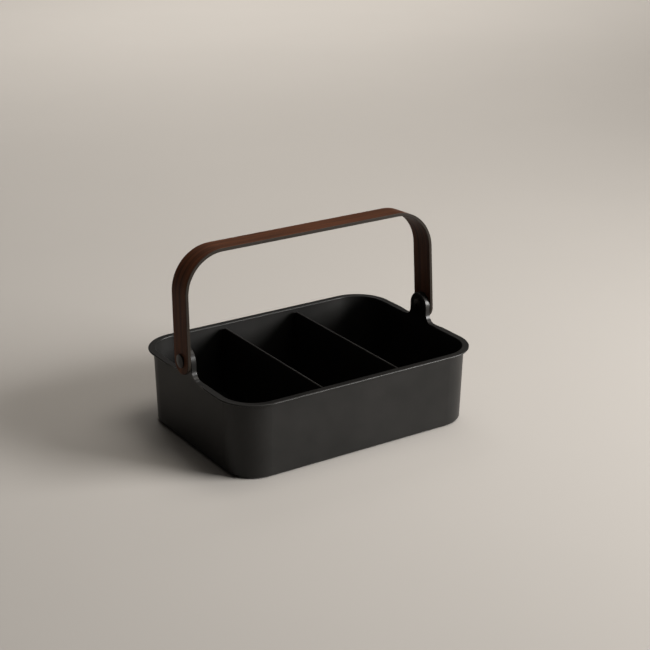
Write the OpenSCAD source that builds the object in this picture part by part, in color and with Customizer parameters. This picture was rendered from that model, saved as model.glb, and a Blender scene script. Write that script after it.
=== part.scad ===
// Tool storage caddy: an open moulded tray with a rolled rim that runs up round
// two ears, two fixed dividers, and a bent wooden strip handle that swings on
// a sleeve-nut pivot at each ear and folds down flat onto the rim.
// Millimetres. X runs along the tray, Y across it, Z up. The origin is at the
// middle of the tray on the surface that it stands on.

/* [Tray] */
// Length over the rim
rim_l = 320; // [260:1:400]
// Width over the rim
rim_w = 232; // [190:1:300]
// Height of the rim's top above the surface
rim_h = 89; // [60:0.5:130]
// Plan radius of the rim's outer corners
rim_r = 44; // [30:1:70]
// Width of the rim outside the wall
rim_lip = 5.8; // [4:0.2:9]
// Thickness of the rim, which has a full round edge
rim_t = 2.2; // [1.6:0.1:3.2]
// Radius of the inner edge along the rim
rim_edge_r = 1; // [0.4:0.1:1.4]
// Thickness of the walls
wall_t = 2.2; // [1.6:0.1:3]
// Thickness of the floor
floor_t = 2.4; // [2:0.1:4]
// Draft of the walls, in degrees
draft = 1.6; // [0.5:0.1:3]
// Outside radius where the wall meets the underside
base_r = 5; // [4:0.5:9]
// Inside radius where the wall meets the floor
cove_r = 4; // [2:0.5:8]
// Height of the foot ring below the rest of the underside
foot_h = 0.8; // [0.4:0.1:1.6]
// Width of the foot ring
foot_w = 4; // [2:0.5:8]

/* [Ears] */
// Radius of the ear about the pivot
ear_r = 15; // [12:0.5:20]
// Height of the pivot above the rim
pivot_rise = 17; // [16:0.5:26]
// Radius where the rim turns up into the ear
ear_foot_r = 10; // [5:0.5:12]
// Width of the rim outside the wall where it runs round an ear
ear_lip = 3.8; // [2.4:0.2:6]
// Plan radius of the hollow by which the rim narrows beside an ear
draw_r = 60; // [30:5:80]
// Length of narrow rim between an ear's foot and that hollow
draw_flat = 2; // [1:0.5:4]

/* [Dividers] */
// Distance of each divider from the middle
divider_x = 49; // [30:1:70]
// Thickness of a divider, which has a full round top edge
divider_t = 2.4; // [1.6:0.2:4]
// Depth of a divider's top below the rim
divider_drop = 2.8; // [2:0.2:20]
// Radius of a divider's top corners
divider_corner_r = 5; // [3:0.5:12]
// Depth of the groove in the floor that a divider stands in
groove_d = 0.8; // [0.4:0.1:1.2]
// Gap between a divider and the tray, all round
divider_gap = 0.1; // [0.05:0.05:0.3]

/* [Handle] */
// Height of the handle's top above the pivot
handle_rise = 120; // [100:1:160]
// Width of the strip
handle_w = 31; // [24:0.5:32]
// Thickness of the handle's core
core_t = 2.5; // [1.6:0.1:4]
// Thickness of each face veneer
veneer_t = 0.6; // [0.4:0.1:1]
// Outside radius of the bends
bend_r = 47.5; // [30:0.5:60]
// Outward slope of the legs, in degrees
leg_splay = 1; // [0:0.1:1.5]
// Backward lean of the handle as it stands, in degrees
handle_lean = 3; // [-10:0.5:10]
// Gap between a leg's inner face and the rim of its ear
leg_gap = 0.65; // [0.5:0.05:1.2]

/* [Pivots] */
// Outside diameter of the sleeve nut's barrel
barrel_d = 6; // [5:0.5:8]
// Inside diameter of the sleeve nut's barrel
barrel_bore_d = 4; // [3:0.5:4]
// Diameter of the heads of the sleeve nut and the screw
head_d = 15; // [12:0.5:18]
// Thickness of a head at its middle
head_t = 2.2; // [1.6:0.1:3]
// Thickness of a head at its edge
head_edge_t = 1.2; // [0.8:0.1:1.5]
// Width across the flats of the screw's hexagon socket
socket_af = 2.5; // [2:0.5:3]
// Depth of the screw's hexagon socket
socket_depth = 1.4; // [1:0.1:1.5]
// Length of the screw below its head
screw_l = 9; // [7:0.5:10]
// Outside diameter of the spacer between the ear and the leg
spacer_d = 12; // [10:0.5:16]
// Outside diameter of a washer
washer_d = 14; // [12:0.5:16]
// Thickness of a washer
washer_t = 0.5; // [0.3:0.1:0.8]
// Radial running clearance of the barrel in the leg
run_gap = 0.05; // [0.03:0.01:0.08]
// Radial clearance of the barrel in the ear, the spacer and the washers
slip_gap = 0.1; // [0.05:0.05:0.2]
// Radial clearance of the screw in the barrel
thread_gap = 0.05; // [0.03:0.01:0.08]
// Gap between a washer and the leg
washer_gap = 0.3; // [0.2:0.05:0.4]
// Gap between the outer washer and the sleeve nut's head
seat_gap = 0.05; // [0.02:0.01:0.1]

/* [Hidden] */
$fn = 96;

tray_black = "#2a2928";
walnut = "#6a4630";
core_brown = "#3a3029";
steel_black = "#1f1f20";
nylon_black = "#303030";

// past: how far a cutting shape runs past the face that it cuts
past = 1;

// Corner centres of the rim, and the four straight runs between them
corner_x = rim_l / 2 - rim_r;
corner_y = rim_w / 2 - rim_r;

// Radii of the wall's two faces about a corner centre, at a height
lean = tan(draft);
skin_t = wall_t / cos(draft);
function outer_at(z) = rim_r - rim_lip - (rim_h - z) * lean;
function inner_at(z) = outer_at(z) - skin_t;
lip_r = rim_t / 2;
floor_z = foot_h + floor_t;

// Centres of the round edge under the wall and of the cove above the floor
base_x = outer_at(base_r) - base_r / cos(draft);
cove_z = floor_z + cove_r;
cove_x = inner_at(cove_z) - cove_r / cos(draft);

// Faces of an ear along X, and the pivot
ear_in = corner_x + inner_at(rim_h);
ear_out = ear_in + skin_t + ear_lip;
plate_out = ear_in + skin_t;
pivot_z = rim_h + pivot_rise;

// Faces of a leg at the pivot, measured along X
handle_t = core_t + 2 * veneer_t;
leg_in = ear_out + leg_gap;
leg_out = leg_in + handle_t / cos(leg_splay);
barrel_r = barrel_d / 2;
leg_end_r = handle_w / 2;

// ---------------------------------------------------------------- sections

// The hollow inside the wall, in radius and height, shrunk by a gap
module hollow_section(gap = 0) {
    fillet = cove_r - gap;
    union() {
        polygon([[-past, floor_z + gap],
                 [cove_x, floor_z + gap],
                 [cove_x + fillet * cos(draft), cove_z - fillet * sin(draft)],
                 [inner_at(rim_h + past) - gap / cos(draft), rim_h + past],
                 [-past, rim_h + past]]);
        translate([cove_x, cove_z]) circle(fillet);
    }
}

// The wall and floor as one solid, before they are hollowed
module block_section() {
    union() {
        polygon([[0, 0],
                 [base_x, 0],
                 [base_x + base_r * cos(draft), base_r - base_r * sin(draft)],
                 [outer_at(rim_h), rim_h],
                 [0, rim_h]]);
        translate([base_x, base_r]) circle(base_r);
    }
}

// The recess that leaves the foot ring round the underside
module foot_section() {
    translate([-past, -past])
        square([base_x - foot_w + past, foot_h + past]);
}

// Wall and floor without the rim
module wall_section() {
    difference() {
        block_section();
        hollow_section();
        foot_section();
    }
}

// Rounds a top edge whose face stands at x = 0 and whose top is at y = 0
module edge_cutter() {
    difference() {
        translate([-past, -rim_edge_r])
            square([past + rim_edge_r, rim_edge_r + past]);
        translate([rim_edge_r, -rim_edge_r])
            circle(rim_edge_r);
    }
}

// The rim alone. x runs out from its inner edge and y up from its top.
module band_section() {
    reach = skin_t + rim_lip;
    difference() {
        union() {
            translate([0, -rim_t])
                square([reach - lip_r, rim_t]);
            translate([reach - lip_r, -lip_r])
                circle(lip_r);
        }
        edge_cutter();
    }
}

// The narrow band round an ear, whose outer edge is flat for the leg beside it
module ear_section() {
    difference() {
        translate([0, -rim_t])
            square([skin_t + ear_lip, rim_t]);
        edge_cutter();
    }
}

// Wall, floor and rim
module rimmed_section() {
    difference() {
        union() {
            wall_section();
            translate([inner_at(rim_h), rim_h]) band_section();
        }
        translate([inner_at(rim_h), rim_h]) edge_cutter();
    }
}

// ---------------------------------------------------------------- tray

// A straight run of a section that faces +X, from y0 to y1
module run_x(y0, y1) {
    translate([corner_x, y1, 0])
        rotate([90, 0, 0])
            linear_extrude(y1 - y0) children();
}

// A straight run of a section that faces +Y, across the whole long side
module run_y() {
    translate([-corner_x, corner_y, 0])
        rotate([90, 0, 90])
            linear_extrude(2 * corner_x) children();
}

// Where the straight rim of a short side ends and the ear's foot begins
foot_y = ear_r + ear_foot_r;

// The ear's flat plate, as an outline in Y and Z that stops short of the band's
// rounded edge
module ear_outline() {
    inset = rim_edge_r;
    union() {
        translate([0, pivot_z])
            circle(ear_r - inset);
        translate([-(ear_r - inset), rim_h - rim_t])
            square([2 * (ear_r - inset), pivot_rise + rim_t]);
        difference() {
            translate([-foot_y, rim_h - rim_t])
                square([2 * foot_y, ear_foot_r + rim_t]);
            for (side = [-1, 1])
                translate([side * foot_y, rim_h + ear_foot_r])
                    circle(ear_foot_r + inset);
        }
    }
}

// Sweeps a section about a line along X through a point of the YZ plane
module about_x(y, z, start, sweep) {
    translate([ear_in, y, z])
        rotate([0, 90, 0])
            rotate([0, 0, start])
                rotate_extrude(angle = sweep) children();
}

// The rim's band carried up round the ear: two feet, two sides and the top
module ear_band() {
    about_x(0, pivot_z, 90, 180)
        translate([ear_r, 0]) rotate(90) mirror([0, 1]) ear_section();
    for (side = [0, 1])
        mirror([0, side, 0]) {
            translate([ear_in, -ear_r, rim_h + ear_foot_r])
                linear_extrude(pivot_rise - ear_foot_r)
                    mirror([0, 1]) ear_section();
            about_x(-foot_y, rim_h + ear_foot_r, 0, 90)
                translate([ear_foot_r, 0]) rotate(90) ear_section();
        }
}

// What is cut from the rim's edge beside an ear on the +Y side, seen from above
module draw_plan() {
    translate([ear_out, foot_y - past])
        square([rim_lip, past + draw_flat]);
    translate([ear_out + draw_r, foot_y + draw_flat])
        circle(draw_r);
}

// One short end of the tray at +X: the wall under the ear, the rim beside it,
// and the ear
module short_side() {
    run_x(-foot_y, foot_y) wall_section();
    for (side = [0, 1])
        mirror([0, side, 0])
            difference() {
                run_x(foot_y, corner_y) rimmed_section();
                translate([0, 0, rim_h - rim_t - past])
                    linear_extrude(rim_t + 2 * past) draw_plan();
            }
    translate([ear_in, 0, 0])
        rotate([90, 0, 90])
            linear_extrude(skin_t) ear_outline();
    ear_band();
}

module tray() {
    color(tray_black)
        difference() {
            union() {
                translate([-corner_x, -corner_y, foot_h])
                    cube([2 * corner_x, 2 * corner_y, floor_t]);
                for (turn = [0, 180])
                    rotate(turn) {
                        short_side();
                        run_y() rimmed_section();
                        translate([corner_x, corner_y, 0])
                            rotate_extrude(angle = 90) rimmed_section();
                        translate([-corner_x, corner_y, 0])
                            rotate(90)
                                rotate_extrude(angle = 90) rimmed_section();
                    }
            }
            // the grooves that the dividers stand in
            for (side = [-1, 1])
                translate([side * divider_x - divider_t / 2 - divider_gap,
                           -groove_half - divider_gap, floor_z - groove_d])
                    cube([divider_t + 2 * divider_gap, 2 * (groove_half + divider_gap),
                          groove_d + past]);
            // the pivot bores
            for (turn = [0, 180])
                rotate(turn)
                    translate([ear_in - past, 0, pivot_z])
                        rotate([0, 90, 0])
                            cylinder(h = skin_t + 2 * past, r = barrel_r + slip_gap);
        }
}

// ---------------------------------------------------------------- dividers

// Half the length of the tongue under a divider
groove_half = corner_y + cove_x - past;
divider_top = rim_h - divider_drop;
divider_half = corner_y + inner_at(divider_top);

// One half of the hollow as seen along X, and then both
module hollow_across(gap) {
    for (side = [0, 1])
        mirror([side, 0])
            translate([corner_y, 0]) hollow_section(gap);
    translate([-corner_y, floor_z + gap])
        square([2 * corner_y, rim_h - floor_z]);
}

// The divider's outline: the hollow less a gap, up to a top with round corners
module divider_outline(top) {
    intersection() {
        hollow_across(divider_gap);
        union() {
            translate([-divider_half, 0])
                square([2 * divider_half, top - divider_corner_r]);
            translate([-divider_half + divider_corner_r, 0])
                square([2 * (divider_half - divider_corner_r), top]);
            for (side = [-1, 1])
                translate([side * (divider_half - divider_corner_r), top - divider_corner_r])
                    circle(divider_corner_r);
        }
    }
    translate([-groove_half, floor_z - groove_d])
        square([2 * groove_half, groove_d + divider_gap]);
}

// A divider centred on x = 0
module divider() {
    round_r = divider_t / 2;
    translate([-round_r, 0, 0])
        rotate([90, 0, 90])
            linear_extrude(divider_t) divider_outline(divider_top - round_r);
    translate([0, divider_half - divider_corner_r, divider_top - round_r])
        rotate([90, 0, 0])
            cylinder(h = 2 * (divider_half - divider_corner_r), r = round_r);
}

module divider_left() {
    color(tray_black) translate([-divider_x, 0, 0]) divider();
}

module divider_right() {
    color(tray_black) translate([divider_x, 0, 0]) divider();
}

// ---------------------------------------------------------------- handle

// The strip is drawn in X and height above the pivot. Its bends turn through a
// right angle less the splay, and share their centres with every layer.
bend_z = handle_rise - bend_r;
bend_x = leg_out - bend_r / cos(leg_splay) - bend_z * tan(leg_splay);
// All that lies inside a depth below the outer face, down to a level
module strip_outline(d, level) {
    r = bend_r - d;
    tip_x = bend_x + r * cos(leg_splay);
    tip_z = bend_z + r * sin(leg_splay);
    foot_x = tip_x + (tip_z - level) * tan(leg_splay);
    for (side = [-1, 1])
        translate([side * bend_x, bend_z]) circle(r);
    translate([-bend_x, level])
        square([2 * bend_x, handle_rise - d - level]);
    polygon([[-foot_x, level], [foot_x, level], [tip_x, tip_z], [-tip_x, tip_z]]);
}

// One layer of the strip, between two depths
module strip_layer(d0, d1) {
    difference() {
        strip_outline(d0, -handle_w);
        strip_outline(d1, -handle_w - past);
    }
}

// The handle's face seen along X: parallel sides and a round end at the pivot
module leg_face() {
    circle(leg_end_r);
    translate([-leg_end_r, 0])
        square([handle_w, handle_rise + past]);
}

// A layer of the handle, upright, with the pivot at the origin
module upright_layer(d0, d1) {
    half_l = leg_out + past;
    difference() {
        intersection() {
            translate([0, leg_end_r, 0])
                rotate([90, 0, 0])
                    linear_extrude(handle_w) strip_layer(d0, d1);
            translate([-half_l, 0, 0])
                rotate([90, 0, 90])
                    linear_extrude(2 * half_l) leg_face();
        }
        translate([-half_l, 0, 0])
            rotate([0, 90, 0])
                cylinder(h = 2 * half_l, r = barrel_r + run_gap);
    }
}

// A layer in its place on the tray, leaning back
module handle_layer(d0, d1) {
    translate([0, 0, pivot_z])
        rotate([-handle_lean, 0, 0])
            upright_layer(d0, d1);
}

module handle_outer_veneer() {
    color(walnut) handle_layer(0, veneer_t);
}

module handle_core() {
    color(core_brown) handle_layer(veneer_t, veneer_t + core_t);
}

module handle_inner_veneer() {
    color(walnut) handle_layer(veneer_t + core_t, handle_t);
}

// ---------------------------------------------------------------- pivots

// Where the parts of a pivot lie along X, from the middle of the tray outwards
inner_washer_x = leg_in - washer_gap - washer_t;
outer_washer_x = leg_out + washer_gap;
nut_head_x = outer_washer_x + washer_t + seat_gap;
barrel_start = ear_in + slip_gap;

// Places a part that is drawn along Z at the right ear, or turned to the left
module at_pivot(side, x) {
    rotate(side > 0 ? 0 : 180)
        translate([x, 0, pivot_z])
            rotate([0, 90, 0]) children();
}

// A low domed head that stands on z = 0, with its dome upwards
module head() {
    head_r = head_d / 2;
    rise = head_t - head_edge_t;
    dome_r = (head_r * head_r + rise * rise) / (2 * rise);
    intersection() {
        cylinder(h = head_t, r = head_r);
        translate([0, 0, head_t - dome_r]) sphere(dome_r, $fn = 192);
    }
}

// A flat ring between two heights
module ring(d, bore_r, z0, z1) {
    difference() {
        translate([0, 0, z0]) cylinder(h = z1 - z0, d = d);
        translate([0, 0, z0 - past]) cylinder(h = z1 - z0 + 2 * past, r = bore_r);
    }
}

module sleeve_nut(side) {
    barrel_l = nut_head_x - barrel_start;
    color(steel_black)
        at_pivot(side, barrel_start)
            difference() {
                union() {
                    cylinder(h = barrel_l, r = barrel_r);
                    translate([0, 0, barrel_l]) head();
                }
                translate([0, 0, -past])
                    cylinder(h = screw_l + 2 * past, d = barrel_bore_d);
            }
}

module pivot_screw(side) {
    socket_r = socket_af / 2 / cos(30);
    color(steel_black)
        at_pivot(side, ear_in)
            difference() {
                union() {
                    mirror([0, 0, 1]) head();
                    translate([0, 0, -head_edge_t])
                        cylinder(h = screw_l + head_edge_t, r = barrel_bore_d / 2 - thread_gap);
                }
                translate([0, 0, -head_t - past])
                    cylinder(h = socket_depth + past, r = socket_r, $fn = 6);
            }
}

module spacer(side) {
    color(nylon_black)
        at_pivot(side, 0)
            ring(spacer_d, barrel_r + slip_gap, plate_out, inner_washer_x);
}

module washers(side) {
    color(nylon_black)
        at_pivot(side, 0) {
            ring(washer_d, barrel_r + slip_gap, inner_washer_x, inner_washer_x + washer_t);
            ring(washer_d, barrel_r + slip_gap, outer_washer_x, outer_washer_x + washer_t);
        }
}

module spacer_left() { spacer(-1); }
module spacer_right() { spacer(1); }
module washers_left() { washers(-1); }
module washers_right() { washers(1); }
module sleeve_nut_left() { sleeve_nut(-1); }
module sleeve_nut_right() { sleeve_nut(1); }
module pivot_screw_left() { pivot_screw(-1); }
module pivot_screw_right() { pivot_screw(1); }

tray();
divider_left();
divider_right();
handle_core();
handle_outer_veneer();
handle_inner_veneer();
spacer_left();
spacer_right();
washers_left();
washers_right();
sleeve_nut_left();
sleeve_nut_right();
pivot_screw_left();
pivot_screw_right();
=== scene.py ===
import math

import bmesh
import bpy
from mathutils import Matrix, Vector


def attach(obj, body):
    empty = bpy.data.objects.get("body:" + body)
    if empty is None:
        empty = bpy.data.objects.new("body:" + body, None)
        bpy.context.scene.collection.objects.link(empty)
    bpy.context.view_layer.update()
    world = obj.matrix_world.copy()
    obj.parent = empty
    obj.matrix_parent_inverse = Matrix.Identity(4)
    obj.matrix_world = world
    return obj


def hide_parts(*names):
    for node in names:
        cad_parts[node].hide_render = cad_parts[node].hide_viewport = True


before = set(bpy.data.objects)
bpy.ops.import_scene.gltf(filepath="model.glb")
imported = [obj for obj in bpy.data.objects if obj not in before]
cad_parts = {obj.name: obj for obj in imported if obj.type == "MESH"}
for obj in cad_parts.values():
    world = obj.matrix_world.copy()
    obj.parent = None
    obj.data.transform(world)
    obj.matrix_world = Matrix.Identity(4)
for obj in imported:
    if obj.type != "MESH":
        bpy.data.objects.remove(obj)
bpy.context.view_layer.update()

# ---------------------------------------------------------------------------
# Tray: one injection moulding in black ABS, with a thin wall, a rolled rim and
# an ear at each short end. The mould was spark-eroded, so the plastic has a
# fine even grain, and the rim is polished a little by handling.

MM = 0.001
RIM_Z = 89 * MM
# the part of the rim that hands polish, and by how much its roughness drops
HANDLED = 3 * MM
POLISH = 0.10


def linear(hex_colour):
    """A hex sRGB colour as the linear RGBA that Blender's sockets take."""
    out = []
    for i in (1, 3, 5):
        c = int(hex_colour[i:i + 2], 16) / 255
        out.append(c / 12.92 if c <= 0.04045 else ((c + 0.055) / 1.055) ** 2.4)
    return (*out, 1.0)


def new_material(name):
    """An empty node material, with its tree and Principled shader."""
    made = bpy.data.materials.new(name)
    made.use_nodes = True
    tree = made.node_tree
    tree.nodes.clear()
    shader = tree.nodes.new("ShaderNodeBsdfPrincipled")
    out = tree.nodes.new("ShaderNodeOutputMaterial")
    tree.links.new(shader.outputs["BSDF"], out.inputs["Surface"])
    return made, tree, shader


def add(tree, kind, settings=None, **inputs):
    """Adds a node and returns it. An input goes by its name, or by i and its
    number, and takes a value or an output socket to link from."""
    made = tree.nodes.new(kind)
    for name, value in (settings or {}).items():
        setattr(made, name, value)
    for name, value in inputs.items():
        by_number = name[1:].isdigit()
        socket = made.inputs[int(name[1:]) if by_number else name.replace("_", " ")]
        if isinstance(value, bpy.types.NodeSocket):
            tree.links.new(value, socket)
        else:
            socket.default_value = value
    return made


def moulded_plastic(name, dark, light, rough):
    """Black ABS from a spark-eroded mould: nearly black, satin, with a grain that
    breaks up reflections, and a slightly smoother, handled rim."""
    made, tree, shader = new_material(name)
    where = add(tree, "ShaderNodeTexCoord").outputs["Object"]
    # flow marks and faint dust, in patches some 45 mm across
    cloud = add(tree, "ShaderNodeTexNoise", Vector=where, Scale=1 / (45.5 * MM), Detail=4.0,
                Roughness=0.6).outputs["Fac"]
    tone = add(tree, "ShaderNodeMapRange", Value=cloud, From_Min=0.3, From_Max=0.7).outputs["Result"]
    colour = add(tree, "ShaderNodeMix", {"data_type": "RGBA"}, i0=tone, i6=linear(dark),
                 i7=linear(light)).outputs[2]
    tree.links.new(colour, shader.inputs["Base Color"])
    # the grain is 0.2 mm on the real part, drawn at 0.7 mm so that it shows
    grain = add(tree, "ShaderNodeTexNoise", Vector=where, Scale=1 / (0.7 * MM), Detail=2.0,
                Roughness=0.5).outputs["Fac"]
    bump = add(tree, "ShaderNodeBump", Height=grain, Strength=0.10, Distance=0.05 * MM)
    tree.links.new(bump.outputs["Normal"], shader.inputs["Normal"])
    # handling polishes the top of the rim, and the ears above it
    height = add(tree, "ShaderNodeSeparateXYZ", Vector=where).outputs["Z"]
    handled = add(tree, "ShaderNodeMapRange", Value=height, From_Min=RIM_Z - HANDLED,
                  From_Max=RIM_Z).outputs["Result"]
    mottle = add(tree, "ShaderNodeMapRange", Value=cloud, From_Min=0.3, From_Max=0.7, To_Min=-0.03,
                 To_Max=0.03).outputs["Result"]
    uneven = add(tree, "ShaderNodeMath", {"operation": "MULTIPLY_ADD"}, i0=handled, i1=-POLISH,
                 i2=mottle).outputs[0]
    total = add(tree, "ShaderNodeMath", {"operation": "ADD"}, i0=uneven, i1=rough).outputs[0]
    tree.links.new(total, shader.inputs["Roughness"])
    # the index of ABS, with the gloss that the grain leaves
    shader.inputs["IOR"].default_value = 1.5
    shader.inputs["Specular IOR Level"].default_value = 0.26
    return made


def give(node, material):
    """Puts one material on a CAD node."""
    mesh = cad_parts[node].data
    mesh.materials.clear()
    mesh.materials.append(material)


tray_abs = moulded_plastic("black_abs_spark_eroded", "#161615", "#1d1c1b", 0.42)
give("tray", tray_abs)

# ---------------------------------------------------------------------------
# Dividers: two flat plates of the same black ABS, a little paler and duller than
# the tray, with full round top edges. Each stands in a groove in the floor and
# just clears both long walls.

divider_abs = moulded_plastic("black_abs_divider", "#1b1a19", "#22201f", 0.46)
give("divider_left", divider_abs)
give("divider_right", divider_abs)

# ---------------------------------------------------------------------------
# Pivots: a blackened steel sleeve nut through each leg and ear, with a socket
# screw from the inside. A nylon spacer and two nylon washers keep the leg off
# the ear and give the handle its friction.


def blackened_steel(name):
    """Steel with a black oxide finish: dark, satin, with fine turning marks."""
    made, tree, shader = new_material(name)
    where = add(tree, "ShaderNodeTexCoord").outputs["Object"]
    # turning marks are 0.1 mm apart on the real part, drawn at 1.1 mm so that they show
    marks = add(tree, "ShaderNodeTexNoise", Vector=where, Scale=1 / (1.11 * MM),
                Detail=3.0).outputs["Fac"]
    tone = add(tree, "ShaderNodeMapRange", Value=marks, From_Min=0.35, From_Max=0.65).outputs["Result"]
    colour = add(tree, "ShaderNodeMix", {"data_type": "RGBA"}, i0=tone, i6=linear("#1a1817"),
                 i7=linear("#2a2725")).outputs[2]
    tree.links.new(colour, shader.inputs["Base Color"])
    sheen = add(tree, "ShaderNodeMapRange", Value=marks, From_Min=0.3, From_Max=0.7, To_Min=0.30,
                To_Max=0.42).outputs["Result"]
    tree.links.new(sheen, shader.inputs["Roughness"])
    # the oxide covers part of the metal's own shine
    shader.inputs["Metallic"].default_value = 0.6
    return made


def nylon(name):
    """Unfilled black nylon, moulded: matt, a touch waxy."""
    made, tree, shader = new_material(name)
    where = add(tree, "ShaderNodeTexCoord").outputs["Object"]
    # a faint mottle from moulding, 1.7 mm across
    speck = add(tree, "ShaderNodeTexNoise", Vector=where, Scale=1 / (1.67 * MM),
                Detail=2.0).outputs["Fac"]
    colour = add(tree, "ShaderNodeMix", {"data_type": "RGBA"}, i0=speck, i6=linear("#1c1c1c"),
                 i7=linear("#262626")).outputs[2]
    tree.links.new(colour, shader.inputs["Base Color"])
    sheen = add(tree, "ShaderNodeMapRange", Value=speck, From_Min=0.3, From_Max=0.7, To_Min=0.5,
                To_Max=0.6).outputs["Result"]
    tree.links.new(sheen, shader.inputs["Roughness"])
    return made


steel = blackened_steel("black_oxide_steel")
black_nylon = nylon("black_nylon")
for side in ("left", "right"):
    give(f"sleeve_nut_{side}", steel)
    give(f"pivot_screw_{side}", steel)
    give(f"spacer_{side}", black_nylon)
    give(f"washers_{side}", black_nylon)

# ---------------------------------------------------------------------------
# Handle: a strip of three bonded layers, a dark core between two walnut face
# veneers. Each is cut flat with round ends and bored, and the three are bent
# together over a former. The cut edges are stained dark and lightly broken.

PIVOT_Z = 106 * MM
HANDLE_RISE = 120 * MM
HANDLE_W = 31 * MM
STRIP_T = 3.7 * MM
VENEER_T = 0.6 * MM
BEND_R = 47.5 * MM
# from the middle to a leg's outside, at the height of its pivot
LEG_OUT = 162.35 * MM
SPLAY = math.radians(1)
LEAN = math.radians(3)
BORE_R = 3.05 * MM
END_R = HANDLE_W / 2
# width of a broken edge
BREAK = 0.45 * MM

# the strip's middle line: how far along it each bend starts and ends, and the pivot
MID_R = BEND_R - STRIP_T / 2
BEND_Z = HANDLE_RISE - BEND_R
BEND_START = LEG_OUT - BEND_R / math.cos(SPLAY) - BEND_Z * math.tan(SPLAY)
BEND_END = BEND_START + MID_R * (math.pi / 2 - SPLAY)
PIVOT_AT = BEND_END + (BEND_Z + MID_R * math.sin(SPLAY)) / math.cos(SPLAY)
# where its straight runs would meet, and where a leg ends
TOP_Z = HANDLE_RISE - STRIP_T / 2
LEG_MID = LEG_OUT - STRIP_T / 2 / math.cos(SPLAY)
SHOULDER = (LEG_MID - TOP_Z * math.tan(SPLAY), 0.0, TOP_Z)
LEG_END = (LEG_MID + END_R * math.sin(SPLAY), 0.0, -END_R * math.cos(SPLAY))
# how finely a layer is drawn: round a bore, out from it, and along the strip
RAYS = 64
RINGS = 6
TOP_STEPS = 10
BEND_STEPS = 48
LEG_STEPS = 6
# points closer than this are one
TOLERANCE = 0.0001 * MM


def flat_pattern():
    """The strip as cut: points (along, across) and faces, with rings of faces
    round each bore and a plain grid between them."""
    points, faces, index = [], [], {}

    def point(along, across):
        """The number of the point at a place, which is added if it is new."""
        key = (round(along / TOLERANCE), round(across / TOLERANCE))
        if key not in index:
            index[key] = len(points)
            points.append((along, across))
        return index[key]

    for side in (-1, 1):
        loops = []
        for ring in range(RINGS + 1):
            loop = []
            for ray in range(RAYS):
                turn = 2 * math.pi * ray / RAYS
                c, s = math.cos(turn), math.sin(turn)
                # the end is round beyond the bore, and square towards the grid
                reach = END_R if c >= 0 else END_R / max(abs(c), abs(s))
                r = BORE_R + (reach - BORE_R) * ring / RINGS
                loop.append(point(side * (PIVOT_AT + r * c), r * s))
            loops.append(loop)
        for near, far in zip(loops, loops[1:]):
            for ray in range(RAYS):
                after = (ray + 1) % RAYS
                faces.append([near[ray], far[ray], far[after], near[after]])
    # the grid's rows meet the rays that reach its end
    across_steps = RAYS // 4
    rows = [END_R * math.tan(math.radians(-45 + 90 * step / across_steps))
            for step in range(across_steps + 1)]
    stops = []
    for start, end, steps in ((0, BEND_START, TOP_STEPS), (BEND_START, BEND_END, BEND_STEPS),
                              (BEND_END, PIVOT_AT - END_R, LEG_STEPS)):
        stops += [start + (end - start) * step / steps for step in range(steps)]
    stops.append(PIVOT_AT - END_R)
    stops = [-stop for stop in reversed(stops[1:])] + stops
    for a0, a1 in zip(stops, stops[1:]):
        for r0, r1 in zip(rows, rows[1:]):
            faces.append([point(a0, r0), point(a1, r0), point(a1, r1), point(a0, r1)])
    return points, faces


def flat_blank(name, points, faces, top, under, broken):
    """A layer before bending, between two heights above the strip's middle, with
    the outline at the height called broken marked for its bevel. Its UV map is
    the flat pattern in metres, so that grain follows the bends."""
    mesh = bmesh.new()
    flat = mesh.loops.layers.uv.new("flat")
    cut = mesh.faces.layers.bool.new("cut_edge")
    weight = mesh.edges.layers.float.new("bevel_weight_edge")
    upper = [mesh.verts.new((along, across, top)) for along, across in points]
    lower = [mesh.verts.new((along, across, under)) for along, across in points]
    # an edge that only one face uses is on the outline or round a bore
    uses = {}
    for face in faces:
        for a, b in zip(face, face[1:] + face[:1]):
            uses.setdefault(frozenset((a, b)), []).append((a, b))
        mesh.faces.new([upper[i] for i in face])
        mesh.faces.new([lower[i] for i in reversed(face)])
    for sides in uses.values():
        if len(sides) == 1:
            a, b = sides[0]
            mesh.faces.new([upper[b], upper[a], lower[a], lower[b]])[cut] = True
    mesh.normal_update()
    bmesh.ops.recalc_face_normals(mesh, faces=mesh.faces)
    for face in mesh.faces:
        face.smooth = True
        for loop in face.loops:
            # on a cut edge the height counts too, so that plies show there as lines
            along, across, z = loop.vert.co
            loop[flat].uv = (along, across - z if face[cut] else across)
    for edge in mesh.edges:
        if {face[cut] for face in edge.link_faces} == {True, False}:
            edge.smooth = False
            if broken is not None and all(abs(vert.co.z - broken) < TOLERANCE for vert in edge.verts):
                edge[weight] = 1.0
    data = bpy.data.meshes.new(name)
    mesh.to_mesh(data)
    mesh.free()
    made = bpy.data.objects.new(name, data)
    bpy.context.collection.objects.link(made)
    return made


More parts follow.
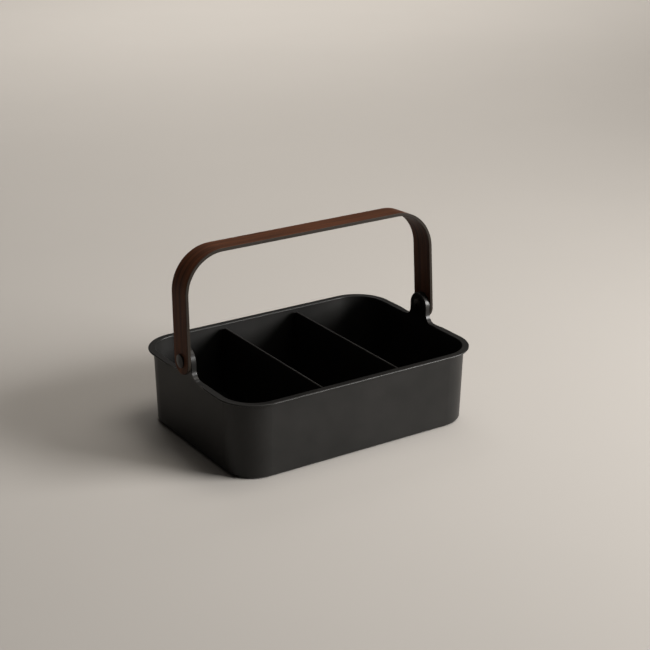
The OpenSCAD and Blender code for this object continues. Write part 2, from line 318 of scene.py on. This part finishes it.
def former():
    """The tree that bends a flat blank over the former. The blank's X runs along
    the strip from its middle, and its Z stands up from the strip's middle."""
    tree = bpy.data.node_groups.new("bend_over_former", "GeometryNodeTree")
    sockets = {}
    for label, kind in (("Blank", "Geometry"), ("Shoulder", "Vector"), ("Leg end", "Vector"),
                        ("Bend radius", "Float"), ("Lean", "Vector"), ("Pivot", "Vector"),
                        ("Face finish", "Material"), ("Cut finish", "Material")):
        made = tree.interface.new_socket(name=label, in_out="INPUT", socket_type="NodeSocket" + kind)
        sockets[label] = made.identifier
    tree.interface.new_socket(name="Layer", in_out="OUTPUT", socket_type="NodeSocketGeometry")
    given = add(tree, "NodeGroupInput").outputs
    # the former's outline: leg end, shoulder, shoulder, leg end, with round shoulders;
    # its four points are numbered 0 to 3, so 1.5 is the middle
    number = add(tree, "GeometryNodeInputIndex").outputs[0]
    off_middle = add(tree, "ShaderNodeMath", {"operation": "SUBTRACT"}, i0=number, i1=1.5).outputs[0]
    side = add(tree, "ShaderNodeMath", {"operation": "SIGN"}, i0=off_middle).outputs[0]
    distance = add(tree, "ShaderNodeMath", {"operation": "ABSOLUTE"}, i0=off_middle).outputs[0]
    at_leg = add(tree, "ShaderNodeMath", {"operation": "SUBTRACT"}, i0=distance, i1=0.5).outputs[0]
    corner = add(tree, "ShaderNodeMix", {"data_type": "VECTOR"}, i0=at_leg, i4=given["Shoulder"],
                 i5=given["Leg end"]).outputs[1]
    mirrored = add(tree, "ShaderNodeCombineXYZ", X=side, Y=1.0, Z=1.0).outputs[0]
    corner = add(tree, "ShaderNodeVectorMath", {"operation": "MULTIPLY"}, i0=corner,
                 i1=mirrored).outputs[0]
    line = add(tree, "GeometryNodeMeshLine", Count=4).outputs[0]
    line = add(tree, "GeometryNodeSetPosition", Geometry=line, Position=corner).outputs[0]
    line = add(tree, "GeometryNodeMeshToCurve", Mesh=line).outputs[0]
    line = add(tree, "GeometryNodeFilletCurve", {"mode": "POLY"}, Curve=line, Count=BEND_STEPS,
               Radius=given["Bend radius"]).outputs[0]
    # each point of the blank goes to its place along the outline
    point = add(tree, "GeometryNodeInputPosition").outputs[0]
    flat = add(tree, "ShaderNodeSeparateXYZ", Vector=point).outputs
    whole = add(tree, "GeometryNodeCurveLength", Curve=line).outputs[0]
    along = add(tree, "ShaderNodeMath", {"operation": "MULTIPLY_ADD"}, i0=whole, i1=0.5,
                i2=flat["X"]).outputs[0]
    found = add(tree, "GeometryNodeSampleCurve", {"mode": "LENGTH"}, Curves=line, Length=along).outputs
    outward = add(tree, "ShaderNodeVectorMath", {"operation": "CROSS_PRODUCT"}, i0=found["Tangent"],
                  i1=(0.0, 1.0, 0.0)).outputs[0]
    raised = add(tree, "ShaderNodeVectorMath", {"operation": "SCALE"}, i0=outward,
                 Scale=flat["Z"]).outputs[0]
    across = add(tree, "ShaderNodeCombineXYZ", Y=flat["Y"]).outputs[0]
    place = add(tree, "ShaderNodeVectorMath", i0=found["Position"], i1=raised).outputs[0]
    place = add(tree, "ShaderNodeVectorMath", i0=place, i1=across).outputs[0]
    layer = add(tree, "GeometryNodeSetPosition", Geometry=given["Blank"], Position=place).outputs[0]
    # set on the pivots, leant back, and finished
    layer = add(tree, "GeometryNodeTransform", Geometry=layer, Translation=given["Pivot"],
                Rotation=given["Lean"]).outputs[0]
    layer = add(tree, "GeometryNodeRealizeInstances", Geometry=layer).outputs[0]
    layer = add(tree, "GeometryNodeSetMaterial", Geometry=layer,
                Material=given["Face finish"]).outputs[0]
    is_cut = add(tree, "GeometryNodeInputNamedAttribute", {"data_type": "BOOLEAN"},
                 Name="cut_edge").outputs[0]
    layer = add(tree, "GeometryNodeSetMaterial", Geometry=layer, Selection=is_cut,
                Material=given["Cut finish"]).outputs[0]
    add(tree, "NodeGroupOutput", i0=layer)
    return tree, sockets


def bend(blank, tree, sockets, face_finish, cut_finish):
    """Bends one blank and keeps the result as its plain mesh."""
    press = blank.modifiers.new("former", "NODES")
    press.node_group = tree
    for label, value in (("Shoulder", SHOULDER), ("Leg end", LEG_END), ("Bend radius", MID_R),
                         ("Lean", (-LEAN, 0.0, 0.0)), ("Pivot", (0.0, 0.0, PIVOT_Z)),
                         ("Face finish", face_finish), ("Cut finish", cut_finish)):
        press[sockets[label]] = value
    ready = blank.evaluated_get(bpy.context.evaluated_depsgraph_get())
    bent = bpy.data.meshes.new_from_object(ready)
    blank.modifiers.remove(press)
    bent.name = blank.name
    blank.data = bent


def walnut(name, dark, light, rough):
    """Sliced walnut under a thin satin lacquer: long brown figure that runs with
    the strip, fine dark pores, and a faint sheen."""
    made, tree, shader = new_material(name)
    flat = add(tree, "ShaderNodeUVMap", {"uv_map": "flat"}).outputs["UV"]
    # figure: bands 143 mm long and 3.85 mm wide
    bands = add(tree, "ShaderNodeMapping", Vector=flat,
                Scale=(1 / (143 * MM), 1 / (3.85 * MM), 1.0)).outputs["Vector"]
    figure = add(tree, "ShaderNodeTexNoise", Vector=bands, Scale=1.0, Detail=5.0, Roughness=0.62,
                 Distortion=0.6).outputs["Fac"]
    tone = add(tree, "ShaderNodeMapRange", Value=figure, From_Min=0.32,
               From_Max=0.68).outputs["Result"]
    wood = add(tree, "ShaderNodeMix", {"data_type": "RGBA"}, i0=tone, i6=linear(dark),
               i7=linear(light)).outputs[2]
    # pores: dark streaks 6.25 mm long and 0.3 mm wide
    streaks = add(tree, "ShaderNodeMapping", Vector=flat,
                  Scale=(1 / (6.25 * MM), 1 / (0.303 * MM), 1.0)).outputs["Vector"]
    pores = add(tree, "ShaderNodeTexNoise", Vector=streaks, Scale=1.0, Detail=2.0).outputs["Fac"]
    share = add(tree, "ShaderNodeMapRange", Value=pores, From_Min=0.60, From_Max=0.72, To_Min=0.0,
                To_Max=0.55).outputs["Result"]
    colour = add(tree, "ShaderNodeMix", {"data_type": "RGBA"}, i0=share, i6=wood,
                 i7=linear("#1d120c")).outputs[2]
    tree.links.new(colour, shader.inputs["Base Color"])
    sheen = add(tree, "ShaderNodeMapRange", Value=figure, From_Min=0.3, From_Max=0.7,
                To_Min=rough - 0.04, To_Max=rough + 0.04).outputs["Result"]
    tree.links.new(sheen, shader.inputs["Roughness"])
    bump = add(tree, "ShaderNodeBump", Height=pores, Strength=0.12, Distance=0.06 * MM)
    tree.links.new(bump.outputs["Normal"], shader.inputs["Normal"])
    # the thin lacquer is rubbed down, so little of it shines
    shader.inputs["Specular IOR Level"].default_value = 0.06
    return made


def stained_core(name):
    """Plies stained dark and seen on edge: thin satin lines along the strip."""
    made, tree, shader = new_material(name)
    flat = add(tree, "ShaderNodeUVMap", {"uv_map": "flat"}).outputs["UV"]
    # plies 0.45 mm thick, whose tone changes every 83 mm
    lines = add(tree, "ShaderNodeMapping", Vector=flat,
                Scale=(1 / (83.3 * MM), 1 / (0.4545 * MM), 1.0)).outputs["Vector"]
    plies = add(tree, "ShaderNodeTexNoise", Vector=lines, Scale=1.0, Detail=3.0).outputs["Fac"]
    tone = add(tree, "ShaderNodeMapRange", Value=plies, From_Min=0.35, From_Max=0.65).outputs["Result"]
    colour = add(tree, "ShaderNodeMix", {"data_type": "RGBA"}, i0=tone, i6=linear("#201c17"),
                 i7=linear("#2c2621")).outputs[2]
    tree.links.new(colour, shader.inputs["Base Color"])
    sheen = add(tree, "ShaderNodeMapRange", Value=plies, From_Min=0.3, From_Max=0.7, To_Min=0.38,
                To_Max=0.5).outputs["Result"]
    tree.links.new(sheen, shader.inputs["Roughness"])
    # stained, with no lacquer on it
    shader.inputs["Specular IOR Level"].default_value = 0.10
    return made


walnut_face = walnut("walnut_veneer_lacquered", "#342117", "#653d29", 0.48)
core_edge = stained_core("stained_laminate_core")
pattern = flat_pattern()
bending_tree, bending_sockets = former()
HALF_T = STRIP_T / 2
CORE_HALF = HALF_T - VENEER_T
# each layer's name, its two heights, the height of its broken edge if it has one,
# and the CAD node and the slot that it takes over
layers = (
    ("handle_outer_face", HALF_T, CORE_HALF, HALF_T, "handle_outer_veneer", "walnut_face"),
    ("handle_middle", CORE_HALF, -CORE_HALF, None, "handle_core", "handle_core"),
    ("handle_inner_face", -CORE_HALF, -HALF_T, -HALF_T, "handle_inner_veneer", "walnut_face"),
)
for name, top, under, broken, node, slot in layers:
    piece = flat_blank(name, *pattern, top, under, broken)
    face_finish = core_edge if broken is None else walnut_face
    bend(piece, bending_tree, bending_sockets, face_finish, core_edge)
    if broken is not None:
        soft = piece.modifiers.new("broken_edge", "BEVEL")
        soft.limit_method = "WEIGHT"
        soft.width = BREAK
        soft.segments = 3
        soft.material = 1
    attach(piece, "handle")
    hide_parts(node)

# ---------------------------------------------------------------------------
# Floor: a plain sheet of pale warm grey paper that lies flat under the caddy
# and runs 8 m out from it, past all that the camera sees.


def paper_floor():
    """Uncoated paper: pale, quite matt and faintly cloudy."""
    made, tree, shader = new_material("pale_paper")
    where = add(tree, "ShaderNodeTexCoord").outputs["Object"]
    # its own tooth is too fine to show, so this is drawn in clouds 333 mm across
    cloud = add(tree, "ShaderNodeTexNoise", Vector=where, Scale=1 / (333 * MM),
                Detail=3.0).outputs["Fac"]
    colour = add(tree, "ShaderNodeMix", {"data_type": "RGBA"}, i0=cloud, i6=linear("#b4b0ab"),
                 i7=linear("#b7b3ae")).outputs[2]
    tree.links.new(colour, shader.inputs["Base Color"])
    shader.inputs["Roughness"].default_value = 1.0
    shader.inputs["Specular IOR Level"].default_value = 0.0
    return made


FLOOR_HALF = 8.0
sheet = bpy.data.meshes.new("floor")
corners = [(FLOOR_HALF * x, FLOOR_HALF * y, 0) for x, y in ((-1, -1), (1, -1), (1, 1), (-1, 1))]
sheet.from_pydata(corners, [], [(0, 1, 2, 3)])
floor = bpy.data.objects.new("floor", sheet)
bpy.context.collection.objects.link(floor)
sheet.materials.append(paper_floor())

# ---------------------------------------------------------------------------
# Light: a soft box low at the front right, two above, one over the far floor, and
# a dark room whose distant walls are a little paler near the floor.


def soft_box(name, place, aim, width, height, watts, colour, spread_deg=180):
    """A rectangular area light that faces a point. A narrow spread is a grid on
    its front, which keeps it off the floor below it."""
    data = bpy.data.lights.new(name, "AREA")
    data.shape = "RECTANGLE"
    data.size, data.size_y = width, height
    data.energy = watts
    data.color = linear(colour)[:3]
    data.spread = math.radians(spread_deg)
    made = bpy.data.objects.new(name, data)
    bpy.context.collection.objects.link(made)
    made.location = place
    made.rotation_mode = "QUATERNION"
    made.rotation_quaternion = (Vector(aim) - Vector(place)).to_track_quat("-Z", "Y")


soft_box("key", place=(1.85, -1.75, 0.88), aim=(0, 0, 0.05), width=1.5, height=1.0, watts=32,
         colour="#fffdfb", spread_deg=80)
soft_box("overhead", place=(0.9, -0.4, 2.4), aim=(0, 0, 0), width=1.6, height=1.6, watts=24,
         colour="#fff9f1")
soft_box("ceiling", place=(0.3, 0.3, 2.8), aim=(0.3, 0.31, 0), width=2.0, height=2.0, watts=11,
         colour="#fff9f1")
soft_box("far", place=(1.6, 2.5, 2.6), aim=(1.6, 2.51, 0), width=3.0, height=1.6, watts=46,
         colour="#fffbf6", spread_deg=110)

world = bpy.data.worlds.new("room")
bpy.context.scene.world = world
world.use_nodes = True
room = world.node_tree
# the walls' colour goes by how far up a ray looks: 0 is level, 1 is straight up
view = add(room, "ShaderNodeTexCoord").outputs["Generated"]
height = add(room, "ShaderNodeSeparateXYZ", Vector=view).outputs["Z"]
up = add(room, "ShaderNodeMapRange", Value=height, From_Min=0.08, From_Max=0.28).outputs["Result"]
walls = add(room, "ShaderNodeMix", {"data_type": "RGBA"}, i0=up, i6=linear("#5e5b57"),
            i7=linear("#201f1e")).outputs[2]
room.links.new(walls, room.nodes["Background"].inputs["Color"])

# ---------------------------------------------------------------------------
# Camera: a long lens 1.8 m from the caddy, above the rim and to the left of its
# front, so that the front, the left end and the inside show.

FRAME_PX = 650
lens = bpy.data.cameras.new("camera")
lens.sensor_width = 36
lens.lens = 86.15
# small shifts, counted in pixels of a frame this wide
lens.shift_x = 3.33 / FRAME_PX
lens.shift_y = -0.26 / FRAME_PX
lens.clip_end = 100
camera = bpy.data.objects.new("camera", lens)
bpy.context.collection.objects.link(camera)
camera.location = (-0.88034, -1.36522, 0.74495)
azimuth = math.radians(-33.32)
elevation = math.radians(21.25)
roll = math.radians(0.16)
back = Vector((math.sin(azimuth) * math.cos(elevation), -math.cos(azimuth) * math.cos(elevation),
               math.sin(elevation)))
camera.rotation_mode = "QUATERNION"
camera.rotation_quaternion = ((-back).to_track_quat("-Z", "Y").to_matrix()
                              @ Matrix.Rotation(roll, 3, "Z")).to_quaternion()
bpy.context.scene.camera = camera

# colours shown as they are, with no film curve
scene = bpy.context.scene
scene.view_settings.view_transform = "Standard"
scene.view_settings.look = "None"
scene.view_settings.exposure = 0.0
